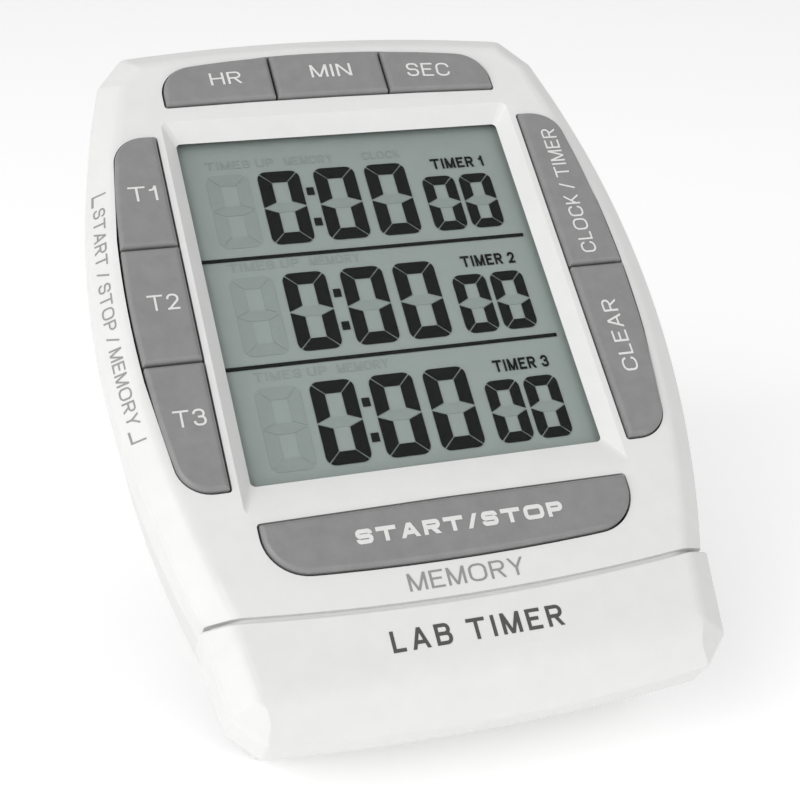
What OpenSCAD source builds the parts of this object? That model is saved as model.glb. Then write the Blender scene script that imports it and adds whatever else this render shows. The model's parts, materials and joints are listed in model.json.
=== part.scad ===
// Lab timer: a countdown timer in a three-piece casing, leaning back on a fold-out
// stand, with nine sprung keys and a sliding battery door. Millimetres, +Z up.
// Every piece is drawn lying flat with its face up, then leaned back by `lean`.
// Flat coordinates: X to the right, Y towards the hour keys, Z out of the face,
// with the origin at the middle of the display window.

/* [Casing] */
// Angle of the back above the table, degrees
lean = 41; // [38:0.5:44]
// Half width at the widest point
half_w = 34.5; // [33.5:0.1:35.5]
// Radius of the bowed sides
side_r = 122; // [110:1:140]
// Top edge at the middle
top_y = 39.4; // [39:0.1:40.5]
// Radius of the top edge
top_r = 211; // [180:1:260]
// Bottom edge at the middle
bottom_y = -53.3; // [-55:0.1:-52.5]
// Radius of the bottom edge
bottom_r = 284; // [240:1:320]
// Height of the face above the window
face_z = 1.65; // [1.4:0.05:1.9]
// Lower edge of the sloped border
rim_z = -0.4; // [-0.8:0.1:0]
// Width of the sloped border
border_w = 3; // [2.6:0.1:3.2]
// Parting plane between the front and rear shells
part_z = -5.2; // [-5.6:0.1:-5.2]
// Back plane
back_z = -19.2; // [-20:0.1:-19.2]
// Wall thickness
wall = 1.8; // [1.6:0.1:2]
// Inset of the back plane at the sides
draft_side = 2.4; // [2:0.1:2.6]
// Inset of the back plane at the bottom
draft_bottom = 4.3; // [4:0.1:4.6]

/* [Lower band] */
// Seam between the front shell and the lower band, at the middle
seam_y = -40.6; // [-41:0.1:-40.4]
// Radius of the seam
seam_r = 263; // [240:1:300]
// Width of the seam
seam_gap = 0.1; // [0.1:0.05:0.4]
// Half width of the band at the seam
band_w = 29.5; // [29.2:0.1:30]
// Where the band starts to round over
round_y = -46.5; // [-47.5:0.1:-46]
// Drop of the round-over at the bottom edge
round_drop = 3.35; // [3:0.05:3.5]

/* [Display] */
// Half width of the window
win_w = 21; // [20:0.1:21]
// Half height of the window
win_h = 23.5; // [23:0.1:23.5]

/* [Keys] */
// Height of the key tops
key_top = 2.25; // [2.1:0.05:2.4]
// Gap round each key
key_gap = 0.3; // [0.25:0.05:0.35]
// Travel of each key
key_travel = 0.8; // [0.6:0.1:0.8]
// Half width of the top and bottom key rows
row_w = 21.5; // [21.4:0.05:21.8]
// Inner edge of the side key columns
col_in = 23.7; // [23.6:0.05:23.9]
// Outer edge of the side key columns at its widest
col_out = 30.7; // [30.5:0.05:31]

/* [Stand] */
// Length from the hinge to the foot
stand_l = 41.6; // [41:0.1:42]
// Half width of the stand
stand_w = 18; // [17:0.1:18]
// Opening angle, degrees
stand_open = 62; // [60:1:64]
// Radius of the stand's hinge pins
pin_r = 0.9; // [0.8:0.05:1]

/* [Hidden] */
$fn = 64;
part_gap = 0.05;

// Where things stand behind the face
face_under = 0.05;
lens_t = 0.7;
pcb_top = -4.4;
pcb_t = 1;
mat_t = 0.8;
hinge_y = 9;
hinge_z = -17.7;
pit_z = -16.3;
door_y = 12.7;
door_w = 24.9;
door_t = 1.5;
deck_z = back_z + door_t + 0.3;
cell_y = 20.5;
cell_z = -12.1;
cell_r = 5.25;
cell_l = 44.5;
buzz_y = -41.1;
case_top = [24.6, 30.6];
case_low = [24.8, -33];
pcb_high = [24.2, 26];
pcb_low = [24.2, -27.2];
magnet_at = [19.5, -41];
corner_a = [25.6, 37.84];
corner_b = [29.1, 33.4];
corner_c = [28.25, -48.8];
corner_d = [25, -52.2];
shell_col = [0.9, 0.9, 0.9];
key_col = [0.56, 0.56, 0.56];
dark = [0.16, 0.16, 0.17];

// The leaned-back place: the rear bottom edge is trimmed to a narrow flat on the table
low_edge = (bottom_y + draft_bottom) * sin(lean) + back_z * cos(lean);
lift = -low_edge - 0.24;
round_r = (pow(bottom_y - round_y, 2) + pow(round_drop, 2)) / (2 * round_drop);
front_y = round_y * cos(lean) - (face_z - round_r) * sin(lean) - round_r;
rear_y = (top_y - draft_side - 0.2) * cos(lean) - back_z * sin(lean);
shift_y = -(front_y + rear_y) / 2;

module leaned() {
  translate([0, shift_y, lift]) rotate([lean, 0, 0]) children();
}

module above_table() {
  translate([-60, -60, 0]) cube([120, 120, 120]);
}

// Outline arithmetic
function unit(v) = v / norm(v);
function turn(a, b) = ((b - a + 540) % 360) - 180;
function fillet(m, r, a, d, n) =
  [for (i = [0:n]) m + r * [cos(a + d * i / n), sin(a + d * i / n)]];
function blend_corner(a, b, c, r, n) =
  let (u = unit(a - b), v = unit(c - b), half = acos(u * v) / 2)
  let (m = b + unit(u + v) * r / sin(half), s = b + u * r / tan(half))
  let (e = b + v * r / tan(half), a0 = atan2(s.y - m.y, s.x - m.x))
  fillet(m, r, a0, turn(a0, atan2(e.y - m.y, e.x - m.x)), n);
function flat(p) = [p[0], p[1]];
// Each point is [x, y, corner radius]
function rounded(p, n = 6) = [
  for (i = [0:len(p) - 1])
    let (a = p[(i + len(p) - 1) % len(p)], c = p[(i + 1) % len(p)])
    each (p[i][2] == 0 ? [flat(p[i])]
      : blend_corner(flat(a), flat(p[i]), flat(c), p[i][2], n))
];
function steps(a, b, n) = [for (i = [0:n]) a + (b - a) * i / n];
function mirrored(p) = [for (i = [len(p) - 1:-1:0]) [-p[i][0], p[i][1], p[i][2]]];
function raised(p, z) = [for (q = p) [q.x, q.y, z]];
function box_ring(x, y0, y1, r) =
  rounded([[-x, y0, r], [x, y0, r], [x, y1, r], [-x, y1, r]], 4);

// Bowed sides and edges, each moved inwards by i
function side_x(y, i) = half_w - side_r + sqrt(pow(side_r - i, 2) - pow(y + 2.5, 2));
function crown_y(x, i) = top_y - top_r + sqrt(pow(top_r - i, 2) - x * x);
function base_y(x, i) = bottom_y + bottom_r - sqrt(pow(bottom_r - i, 2) - x * x);
function in_a(i) = corner_a - i * [0.515, 0.945];
function in_b(i) = corner_b - i * [0.901, 0.48];

// Right half of the upper casing, from the low end to the top
function upper_right(i, y0) = concat(
  [for (y = steps(y0, in_b(i).y, 12)) [side_x(y, i), y, 0]],
  [for (x = steps(in_a(i).x, 0.5, 5)) [x, crown_y(x, i), 0]]);
function upper_outline(i) =
  let (half = upper_right(i, -44)) rounded(concat(half, mirrored(half)));

// Casing outline behind the parting plane, with its own inset at the bottom
function rear_right(i, b) = concat(
  [for (x = steps(0.5, corner_d.x - 0.6 * i, 5)) [x, base_y(x, b), 0]],
  [[corner_c.x - 0.3 - i, corner_c.y + 0.85 * b, 0]],
  upper_right(i, -38));
function rear_outline(i, b) =
  let (half = rear_right(i, b)) rounded(concat(half, mirrored(half)));

// Lower band outline
function band_x(y, i) = band_w + (y - seam_y - 1) * 0.14 - i;
function band_right(i) = concat(
  [for (x = steps(0.5, corner_d.x - 0.45 * i, 5)) [x, base_y(x, i), 0]],
  [[corner_c.x - 0.95 * i, corner_c.y + 0.5 * i, 0], [band_x(-36, i), -36, 0]]);
function band_outline(i) =
  let (half = band_right(i)) rounded(concat(half, mirrored(half)));
function band_sides(i) = [
  [-band_x(-36, i), -36], [-band_x(-60, i), -60], [band_x(-60, i), -60],
  [band_x(-36, i), -36]
];

// Key outlines: g grows the outline on every side
function row_high(x, g) = 35.3 + g - x * x / 281;
function row_low(x, g) = 28.5 - g - x * x / 1434;
function row_key(x0, x1, r0, r1, g) = rounded(concat(
  [for (x = steps(x0, x1, 4)) [x, row_low(x, g), x == x0 || x == x1 ? 0.35 : 0]],
  [[x1, row_high(x1, g), r1]],
  [for (x = steps(x1 * 0.7 + x0 * 0.3, x1 * 0.3 + x0 * 0.7, 3)) [x, row_high(x, g), 0]],
  [[x0, row_high(x0, g), r0]]));
function col_x(y, g) = col_out + g - pow(y + 0.45, 2) / 276;
function col_key(y0, y1, r0, r1, g) = rounded(concat(
  [[col_in - g, y0, 0.35], [col_x(y0, g), y0, r0]],
  [for (y = steps(y0 * 0.7 + y1 * 0.3, y0 * 0.3 + y1 * 0.7, 4)) [col_x(y, g), y, 0]],
  [[col_x(y1, g), y1, r1], [col_in - g, y1, 0.35]]));
function start_low(x, g) = -35.85 - g + x * x * 0.00184;
function start_outline(g) = rounded(concat(
  [[-row_w - g, start_low(row_w, g), 5]],
  [for (x = steps(-15, 15, 6)) [x, start_low(x, g), 0]],
  [[row_w + g, start_low(row_w, g), 5], [row_w + g, -28.95 + g, 0.35]],
  [[0, -28.8 + g, 0], [-row_w - g, -28.95 + g, 0.35]]));

// Splits between neighbouring keys
split_x = 7.4;
split_t1 = 7.5;
split_t3 = -8.2;
split_right = -0.37;
col_high = 23.5;
col_low = -24.4;
h = key_gap / 2;

// A solid through matching rings of points, lowest ring first
module loft(rings) {
  n = len(rings[0]);
  m = len(rings);
  sides = [
    for (k = [0:m - 2], i = [0:n - 1])
      let (a = k * n + i, b = k * n + (i + 1) % n)
      each [[a, a + n, b + n], [a, b + n, b]]
  ];
  lowest = [for (i = [0:n - 1]) i];
  highest = [for (i = [n - 1:-1:0]) (m - 1) * n + i];
  polyhedron([for (r = rings) each r], concat([lowest], sides, [highest]));
}

module slab(points, z0, z1) {
  translate([0, 0, z0]) linear_extrude(z1 - z0) polygon(points);
}

module block(a, b) {
  translate(a) cube(b - a);
}

module post(at, r, z0, z1) {
  translate([at.x, at.y, z0]) cylinder(r = r, h = z1 - z0);
}

module both_sides(at) {
  for (s = [-1, 1]) translate([s * at.x, at.y, 0]) children();
}

module seam_disc(r, z0, z1) {
  translate([0, seam_y + seam_r, z0]) cylinder(r = r, h = z1 - z0, $fn = 360);
}

// --- Casing ---

module upper_solid() {
  intersection() {
    loft([
      raised(upper_outline(0), part_z + part_gap),
      raised(upper_outline(0), rim_z),
      raised(upper_outline(border_w), face_z)
    ]);
    seam_disc(seam_r - seam_gap / 2, part_z - 1, face_z + 1);
  }
}

module upper_hollow() {
  intersection() {
    union() {
      slab(upper_outline(wall), part_z - 1, -0.9);
      slab(upper_outline(border_w), -1, face_under);
    }
    seam_disc(seam_r - 1.6, part_z - 1, face_z);
  }
}

module window_cut() {
  loft([
    raised(box_ring(win_w, -win_h, win_h, 0.6), -2),
    raised(box_ring(win_w, -win_h, win_h, 0.6), 0),
    raised(box_ring(22.7, -27.6, 25.9, 0.9), face_z),
    raised(box_ring(22.7, -27.6, 25.9, 0.9), face_z + 1)
  ]);
}

module key_cuts() {
  z0 = -2;
  z1 = face_z + 1;
  g = key_gap;
  slab(row_key(-row_w - g, row_w + g, 4.5, 4.5, g), z0, z1);
  for (s = [0, 1]) mirror([s, 0, 0])
    slab(col_key(col_low - g, col_high + g, 4.1, 4.1, g), z0, z1);
  slab(start_outline(g), z0, z1);
}

module front_shell() color(shell_col) leaned() difference() {
  union() {
    difference() {
      upper_solid();
      upper_hollow();
    }
    both_sides(case_top) post([0, 0], 2.2, part_z - 0.7, face_under + 0.1);
    both_sides(case_low) post([0, 0], 2.2, part_z - 0.7, face_under + 0.1);
    both_sides(pcb_high) post([0, 0], 1.4, pcb_top + 0.05, face_under + 0.1);
    both_sides(pcb_low) post([0, 0], 1.4, pcb_top + 0.05, face_under + 0.1);
    both_sides([13, -42.2]) block([-5, -3.6, -1.4], [5, 3.6, -0.35]);
  }
  window_cut();
  key_cuts();
  both_sides(case_top) post([0, 0], 1, part_z - 2, -1.6);
  both_sides(case_low) post([0, 0], 1, part_z - 2, -1.6);
  both_sides(pcb_high) post([0, 0], 0.75, part_z - 2, -1.4);
  both_sides(pcb_low) post([0, 0], 0.75, part_z - 2, -1.4);
}

module round_over(r) {
  union() {
    block([-40, round_y, -12], [40, 0, face_z - round_r + r]);
    translate([-40, round_y, face_z - round_r]) rotate([0, 90, 0]) cylinder(r = r, h = 80);
  }
}

module lower_fascia() color(shell_col) leaned() difference() {
  intersection() {
    loft([
      raised(band_sides(0), part_z + part_gap),
      raised(band_sides(0), rim_z),
      raised(band_sides(border_w), face_z)
    ]);
    slab(band_outline(0), part_z, face_z + 1);
    round_over(round_r);
  }
  intersection() {
    slab(band_outline(wall), part_z - 1, face_under);
    round_over(round_r - 1.6);
  }
  seam_disc(seam_r + seam_gap / 2, part_z - 2, face_z + 2);
}

module rear_outer() {
  loft([
    raised(rear_outline(draft_side, draft_bottom), back_z),
    raised(rear_outline(0.3, 0.3), part_z)
  ]);
}

module rear_inner() {
  loft([
    raised(rear_outline(draft_side + 1.6, draft_bottom + 1.5), back_z + 2),
    raised(rear_outline(2.1, 2.1), part_z + 0.5)
  ]);
}

module cell_box() {
  difference() {
    block([-25.6, 13.4, deck_z], [25.6, 27.6, -7.2]);
    block([-24.8, 14.2, back_z], [24.8, 26.8, 0]);
  }
}

module screw_well(r_head) {
  post([0, 0], r_head, back_z - 1, -14);
  post([0, 0], 1.15, -15, 0);
}

module stand_pit() {
  block([-stand_w - 0.4, hinge_y - stand_l - 1, back_z - 1], [stand_w + 0.4, 11, pit_z]);
  translate([-stand_w - 0.4, hinge_y, hinge_z]) rotate([0, 90, 0])
    cylinder(r = 1.75, h = 2 * stand_w + 0.8);
  translate([-stand_w - 2.2, hinge_y, hinge_z]) rotate([0, 90, 0])
    cylinder(r = pin_r + 0.05, h = 2 * stand_w + 4.4);
  translate([0, hinge_y - stand_l - 1, back_z - 1.4]) cylinder(r = 6, h = 2.6);
}

module door_way() {
  block([-door_w - 0.3, door_y - 0.3, back_z - 1], [door_w + 0.3, 45, deck_z]);
  block([-door_w - 1.2, door_y + 1, back_z + 0.5], [door_w + 1.2, 45, deck_z]);
  block([-24.1, 14.2, back_z], [24.1, 26.8, -15]);
}

module sound_holes() {
  post([0, buzz_y], 0.75, back_z - 1, back_z + 3);
  for (a = [0:60:300])
    post([3.2 * cos(a), buzz_y + 3.2 * sin(a)], 0.75, back_z - 1, back_z + 3);
}

module rear_shell() color([0.86, 0.86, 0.86]) intersection() {
  leaned() difference() {
    union() {
      difference() {
        rear_outer();
        rear_inner();
      }
      block([-stand_w - 3.5, -34.6, back_z + 0.1], [stand_w + 3.5, 13.6, -14.8]);
      block([-26.6, 13.4, deck_z], [26.6, 34.4, deck_z + 1.4]);
      cell_box();
      both_sides(case_top) post([0, 0], 2.6, deck_z, part_z - 0.9);
      both_sides(case_low) post([0, 0], 2.6, back_z + 0.5, part_z - 0.9);
      both_sides(magnet_at) post([0, 0], 6, back_z + 0.5, back_z + 2.7);
    }
    stand_pit();
    door_way();
    both_sides(case_top) screw_well(2.1);
    both_sides(case_low) screw_well(2.1);
    both_sides(magnet_at) post([0, 0], 5.05, back_z - 1, back_z + 2);
    sound_holes();
  }
  above_table();
}

// --- Display and electronics ---

module window_lens() color([0.75, 0.8, 0.78, 0.4]) leaned()
  slab(box_ring(22.5, -25, 25, 0.8), -lens_t, 0);

module lcd_panel() color([0.58, 0.63, 0.6]) leaned() {
  block([-22.4, -25.1, -2.1], [22.4, 25.1, -0.8]);
  block([-21.8, -24.3, -3], [21.8, 24.3, -2]);
}

module lcd_frame() color(dark) leaned() difference() {
  block([-22.7, -25.4, pcb_top + 0.05], [22.7, 25.4, -2.15]);
  block([-21.9, -24.4, -6], [21.9, 24.4, 0]);
}

module zebra_strips() color([0.85, 0.5, 0.6]) leaned() {
  block([-20, 21.6, pcb_top], [20, 23.8, -3.02]);
  block([-20, -23.8, pcb_top], [20, -21.6, -3.02]);
}

module board_blank(inset, z0, z1) {
  intersection() {
    slab(upper_outline(inset), z0, z1);
    block([-40, -37.4, z0 - 1], [40, 60, z1 + 1]);
  }
}

module main_pcb() color([0.12, 0.4, 0.2]) leaned() difference() {
  board_blank(3.4, pcb_top - pcb_t, pcb_top - 0.02);
  both_sides(case_top) post([0, 0], 2.35, -8, 0);
  both_sides(case_low) post([0, 0], 2.35, -8, 0);
  both_sides(pcb_high) post([0, 0], 0.85, -8, 0);
  both_sides(pcb_low) post([0, 0], 0.85, -8, 0);
}

// Middle of each key's plunger
stems = [
  [-14, 31.5], [0, 31.8], [14, 31.5], [-27, 15.2], [-27.2, -0.4], [-27, -16],
  [27, 11.5], [27, -12.2], [0, -32.2]
];

module key_mat() color([0.75, 0.75, 0.72]) leaned() difference() {
  union() {
    board_blank(3.8, pcb_top, pcb_top + mat_t);
    for (s = stems) post(s, 2.3, pcb_top + 0.1, -2.4);
  }
  block([-22.95, -25.65, -6], [22.95, 25.65, 0]);
  for (s = stems) post(s, 1.65, pcb_top + mat_t, 0);
  both_sides(case_top) post([0, 0], 2.35, -8, 0);
  both_sides(case_low) post([0, 0], 2.35, -8, 0);
  both_sides(pcb_high) post([0, 0], 1.5, -8, 0);
  both_sides(pcb_low) post([0, 0], 1.5, -8, 0);
}

module chip() color(dark) leaned() intersection() {
  translate([0, -6, pcb_top - pcb_t + 3.4]) sphere(r = 5.4);
  post([0, -6], 6, -9, pcb_top - pcb_t);
}

module crystal() color([0.75, 0.75, 0.77]) leaned() {
  translate([10, -9, pcb_top - pcb_t - 1.1]) rotate([90, 0, 0]) cylinder(r = 1, h = 6);
  translate([10, -14.8, pcb_top - pcb_t - 1.1]) rotate([90, 0, 0]) cylinder(r = 1.08, h = 0.5);
}

// --- Keys ---

// A key: its cap, the flange that keeps it in, and its plunger
module key(points, low, high, stem) {
  flange_z = -0.95;
  slab(points, flange_z, key_top);
  block([low.x, low.y, flange_z], [high.x, high.y, -0.15]);
  post(stem, 1.2, -1.9, flange_z + 0.1);
}

module hr_key() color(key_col) leaned()
  key(row_key(-row_w, -split_x - h, 4.2, 0.35, 0), [-21.2, 27.4], [-8, 33.8], stems[0]);

module min_key() color(key_col) leaned()
  key(row_key(-split_x + h, split_x - h, 0.35, 0.35, 0), [-7, 27.4], [7, 36.1], stems[1]);

module sec_key() color(key_col) leaned()
  key(row_key(split_x + h, row_w, 0.35, 4.2, 0), [8, 27.4], [21.2, 33.8], stems[2]);

module t1_key() color(key_col) leaned() mirror([1, 0, 0])
  key(col_key(split_t1 + h, col_high, 0.35, 3.8, 0), [23.1, 8], [28, 23.5], [27, 15.2]);

module t2_key() color(key_col) leaned() mirror([1, 0, 0])
  key(col_key(split_t3 + h, split_t1 - h, 0.35, 0.35, 0), [23.1, -7.6], [29, 7], [27.2, -0.4]);

module t3_key() color(key_col) leaned() mirror([1, 0, 0])
  key(col_key(col_low, split_t3 - h, 3.8, 0.35, 0), [23.1, -24], [28, -8.8], [27, -16]);

module clock_key() color(key_col) leaned()
  key(col_key(split_right + h, col_high, 0.35, 3.8, 0), [23.1, 0.2], [28, 23.5], stems[6]);

module clear_key() color(key_col) leaned()
  key(col_key(col_low, split_right - h, 3.8, 0.35, 0), [23.1, -24], [28, -1], stems[7]);

module start_key() color(key_col) leaned()
  key(start_outline(0), [-20.4, -33.8], [20.4, -27.9], stems[8]);

// --- Sound and power ---

module buzzer() color([0.8, 0.65, 0.3]) leaned() {
  post([0, buzz_y], 6.25, back_z + 2.1, back_z + 2.4);
  difference() {
    post([0, buzz_y], 6.25, back_z + 2.1, back_z + 5);
    post([0, buzz_y], 5.4, back_z + 2.4, back_z + 4.4);
  }
}

module battery() color([0.2, 0.22, 0.25]) leaned() translate([0, cell_y, cell_z])
  rotate([0, 90, 0]) {
    translate([0, 0, -cell_l / 2]) cylinder(r = cell_r, h = cell_l - 1);
    translate([0, 0, cell_l / 2 - 1.1]) cylinder(r = 1.9, h = 1.1);
  }

module battery_spring() color([0.8, 0.8, 0.8]) leaned() {
  block([-24.7, cell_y - 4, -15.9], [-24.35, cell_y + 4, -6]);
  translate([-24.4, cell_y, cell_z]) rotate([0, 90, 0])
    for (k = [0:2]) translate([0, 0, 0.3 + 0.6 * k])
      rotate_extrude() translate([3.2 - 0.5 * k, 0]) circle(r = 0.33, $fn = 24);
}

module battery_contact() color([0.8, 0.8, 0.8]) leaned() {
  block([24.3, cell_y - 4, -15.9], [24.7, cell_y + 4, -6]);
  translate([22.4, cell_y, cell_z]) rotate([0, 90, 0]) cylinder(r = 2.4, h = 2);
}

module battery_door() color([0.84, 0.84, 0.84]) leaned() difference() {
  intersection() {
    union() {
      block([-door_w, door_y, back_z], [door_w, 45, back_z + door_t]);
      block([-door_w - 0.9, door_y + 1.4, back_z + 0.8], [door_w + 0.9, 25, back_z + door_t]);
    }
    slab(upper_outline(draft_side + 0.2), back_z - 1, 0);
  }
  for (k = [0:4])
    block([-7 + 0.5 * k, 16.4 + 1.7 * k, back_z - 1], [7 - 0.5 * k, 17.3 + 1.7 * k, back_z + 0.4]);
}

// --- Stand, magnets and screws ---

module stand_flat() {
  z0 = -18.9;
  difference() {
    union() {
      slab(rounded([
        [-stand_w, hinge_y, 0], [-stand_w + 1.6, hinge_y - stand_l, 3],
        [stand_w - 1.6, hinge_y - stand_l, 3], [stand_w, hinge_y, 0]
      ]), z0, z0 + 2.2);
      translate([-stand_w, hinge_y, hinge_z]) rotate([0, 90, 0])
        cylinder(r = 1.4, h = 2 * stand_w);
      translate([-stand_w - 1.9, hinge_y, hinge_z]) rotate([0, 90, 0])
        cylinder(r = pin_r, h = 2 * stand_w + 3.8);
      translate([-6, hinge_y, hinge_z]) rotate([-stand_open, 0, 0])
        block([0, 0, -0.6], [12, 1.7, 0.6]);
    }
    block([-10, hinge_y - stand_l + 9, z0 - 1], [10, hinge_y - stand_l + 30, z0 + 0.7]);
  }
}

module stand() color([0.84, 0.84, 0.84]) intersection() {
  leaned() translate([0, hinge_y, hinge_z]) rotate([stand_open, 0, 0])
    translate([0, -hinge_y, -hinge_z]) stand_flat();
  above_table();
}

module magnets() color([0.7, 0.7, 0.72]) leaned()
  both_sides(magnet_at) post([0, 0], 5, back_z + 0.05, back_z + 1.95);

module case_screw() {
  difference() {
    union() {
      post([0, 0], 1.9, -15.3, -14.02);
      post([0, 0], 0.95, -14.1, -2);
    }
    block([-1.3, -0.2, -16], [1.3, 0.2, -14.8]);
    block([-0.2, -1.3, -16], [0.2, 1.3, -14.8]);
  }
}

module case_screws() color([0.65, 0.65, 0.66]) leaned() {
  both_sides(case_top) case_screw();
  both_sides(case_low) case_screw();
}

module pcb_screw() {
  post([0, 0], 1.4, -6.1, pcb_top - pcb_t - 0.02);
  post([0, 0], 0.7, -5.5, -1.9);
}

module pcb_screws() color([0.65, 0.65, 0.66]) leaned() {
  both_sides(pcb_high) pcb_screw();
  both_sides(pcb_low) pcb_screw();
}

front_shell();
lower_fascia();
rear_shell();
window_lens();
lcd_panel();
lcd_frame();
zebra_strips();
main_pcb();
key_mat();
chip();
crystal();
hr_key();
min_key();
sec_key();
t1_key();
t2_key();
t3_key();
clock_key();
clear_key();
start_key();
buzzer();
battery();
battery_spring();
battery_contact();
battery_door();
stand();
magnets();
case_screws();
pcb_screws();
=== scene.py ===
import json
import math

import bmesh
import bpy
from mathutils import Matrix, Vector


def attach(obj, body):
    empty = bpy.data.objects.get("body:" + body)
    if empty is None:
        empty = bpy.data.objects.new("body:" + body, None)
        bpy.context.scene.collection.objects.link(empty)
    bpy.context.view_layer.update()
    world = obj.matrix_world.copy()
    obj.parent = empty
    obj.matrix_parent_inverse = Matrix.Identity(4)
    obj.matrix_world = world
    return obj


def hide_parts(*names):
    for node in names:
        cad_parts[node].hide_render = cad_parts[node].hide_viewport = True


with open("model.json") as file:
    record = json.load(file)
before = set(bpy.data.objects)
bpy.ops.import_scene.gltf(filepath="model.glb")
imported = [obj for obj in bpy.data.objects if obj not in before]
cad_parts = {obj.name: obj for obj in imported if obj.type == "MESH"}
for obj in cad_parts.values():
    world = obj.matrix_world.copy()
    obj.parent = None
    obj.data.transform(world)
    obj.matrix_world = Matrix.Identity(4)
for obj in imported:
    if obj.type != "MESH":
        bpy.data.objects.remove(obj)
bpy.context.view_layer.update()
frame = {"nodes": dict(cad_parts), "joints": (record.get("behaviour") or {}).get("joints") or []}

# ---------------------------------------------------------------------------
# The flat place: millimetres, X right, Y up the face, Z out of it, with the
# origin at the middle of the display window. FLAT carries it into the frame.
# ---------------------------------------------------------------------------

HINGE_Y, HINGE_Z = 9.0, -17.7
joints = {j["name"]: j for j in frame["joints"]}
OUT = -Vector(joints["start_press"]["axis"]).normalized()
SIDE = Vector((1, 0, 0))
UP = OUT.cross(SIDE)
ORIGIN = Vector(joints["stand_hinge"]["pos_m"]) - UP * HINGE_Y / 1000 - OUT * HINGE_Z / 1000
FLAT = Matrix.Translation(ORIGIN) @ Matrix((SIDE, UP, OUT)).transposed().to_4x4()
FLAT = FLAT @ Matrix.Scale(0.001, 4)
TO_FLAT = FLAT.inverted()

# Sizes that the casing's outline is worked out from
HALF_W, SIDE_R, WIDEST_Y = 34.46, 122.0, -2.5
TOP_Y, TOP_R = 39.4, 211.0
BOTTOM_Y, BOTTOM_R = -53.3, 284.0
SEAM_Y, SEAM_R, SEAM_GAP = -40.6, 263.0, 0.1
FACE_Z, RIM_Z, BORDER_W = 1.65, -0.4, 3.0
PART_Z = -5.15
BAND_W, BAND_SPLAY = 29.5, 0.14
ROUND_Y, ROUND_DROP = -46.5, 3.35
ROUND_R = (abs(BOTTOM_Y - ROUND_Y) ** 2 + ROUND_DROP ** 2) / (2 * ROUND_DROP)
WALL = 1.8
GROOVE_W, GROOVE_D = 0.42, 0.62

# The casing's corners: A and B at the top, C and D at the bottom, and how each moves
# as its outline moves in by one
CORNER_A, CORNER_B = (25.6, 37.84), (29.1, 33.4)
CORNER_C, CORNER_D = (28.25, -48.8), (25.0, -52.2)
STEP_A, STEP_B = (-0.515, -0.945), (-0.901, -0.48)
STEP_C, STEP_D = (-0.95, 0.5), -0.45

# Keys: their heights, the gap round them, and the row and columns that they fill
KEY_TOP, KEY_FOOT, KEY_GAP = 2.25, -0.95, 0.24
ROW_W, ROW_HIGH, ROW_LOW = 21.5, 35.3, 28.5
COL_IN, COL_OUT, COL_LOW, COL_HIGH = 23.7, 30.7, -24.4, 23.5
START_LOW, START_HIGH, START_RISE = -35.85, -28.8, 0.15
ROW_HIGH_BOW, ROW_LOW_BOW, START_BOW = 281, 1434, 0.00184
COL_BOW, COL_MID_Y = 276, -0.45
ROW_ROUND, COL_ROUND, START_ROUND = 4.2, 3.8, 5.0
INNER_ROUND, LEAST_ROUND = 0.2, 0.06


# ---------------------------------------------------------------------------
# Outlines
# ---------------------------------------------------------------------------

def steps(a, b, n):
    return [a + (b - a) * i / n for i in range(n + 1)]


def blend_corner(a, b, c, r, n):
    """The arc of radius r that replaces corner b between the edges to a and c."""
    a, b, c = Vector(a), Vector(b), Vector(c)
    u, v = (a - b).normalized(), (c - b).normalized()
    half = u.angle(v) / 2
    middle = b + (u + v).normalized() * r / math.sin(half)
    start, end = b + u * r / math.tan(half), b + v * r / math.tan(half)
    a0 = math.atan2(*(start - middle).yx)
    turn = math.atan2(*(end - middle).yx) - a0
    turn = (turn + 3 * math.pi) % (2 * math.pi) - math.pi
    return [
        (middle.x + r * math.cos(a0 + turn * i / n), middle.y + r * math.sin(a0 + turn * i / n))
        for i in range(n + 1)
    ]


def rounded(points, n=6, closed=True):
    """Each point is (x, y, corner radius)."""
    out = []
    for i, p in enumerate(points):
        if p[2] == 0 or (not closed and i in (0, len(points) - 1)):
            out.append(p[:2])
        else:
            a, c = points[i - 1], points[(i + 1) % len(points)]
            out += blend_corner(a[:2], p[:2], c[:2], p[2], n)
    return out


def mirrored(points):
    return [(-p[0],) + tuple(p[1:]) for p in reversed(points)]


def side_x(y, i=0.0):
    return HALF_W - SIDE_R + math.sqrt((SIDE_R - i) ** 2 - (y - WIDEST_Y) ** 2)


def crown_y(x, i=0.0):
    return TOP_Y - TOP_R + math.sqrt((TOP_R - i) ** 2 - x * x)


def base_y(x, i=0.0):
    return BOTTOM_Y + BOTTOM_R - math.sqrt((BOTTOM_R - i) ** 2 - x * x)


def band_x(y, i=0.0):
    return BAND_W + (y - SEAM_Y - 1) * BAND_SPLAY - i


def moved(corner, step, i):
    """A corner of the outline, moved in by i."""
    return corner[0] + step[0] * i, corner[1] + step[1] * i


def upper_outline(i):
    """The casing above the seam, moved in by i."""
    ax, ay = moved(CORNER_A, STEP_A, i)
    bx, by = moved(CORNER_B, STEP_B, i)
    r = max(1.6 - 0.35 * i, 0.4)
    half = [(side_x(y, i), y, 0) for y in steps(-44, by - 3, 40)]
    half += [(bx, by, r), (ax, ay, r)]
    half += [(x, crown_y(x, i), 0) for x in steps(ax - 3, 0.5, 14)]
    return rounded(half + mirrored(half), 7)


def row_high(x, g):
    return ROW_HIGH + g - x * x / ROW_HIGH_BOW


def row_low(x, g):
    return ROW_LOW - g - x * x / ROW_LOW_BOW


def grown(r, g):
    """A corner radius on an outline that is g larger all round."""
    return max(r + g, LEAST_ROUND)


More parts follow.
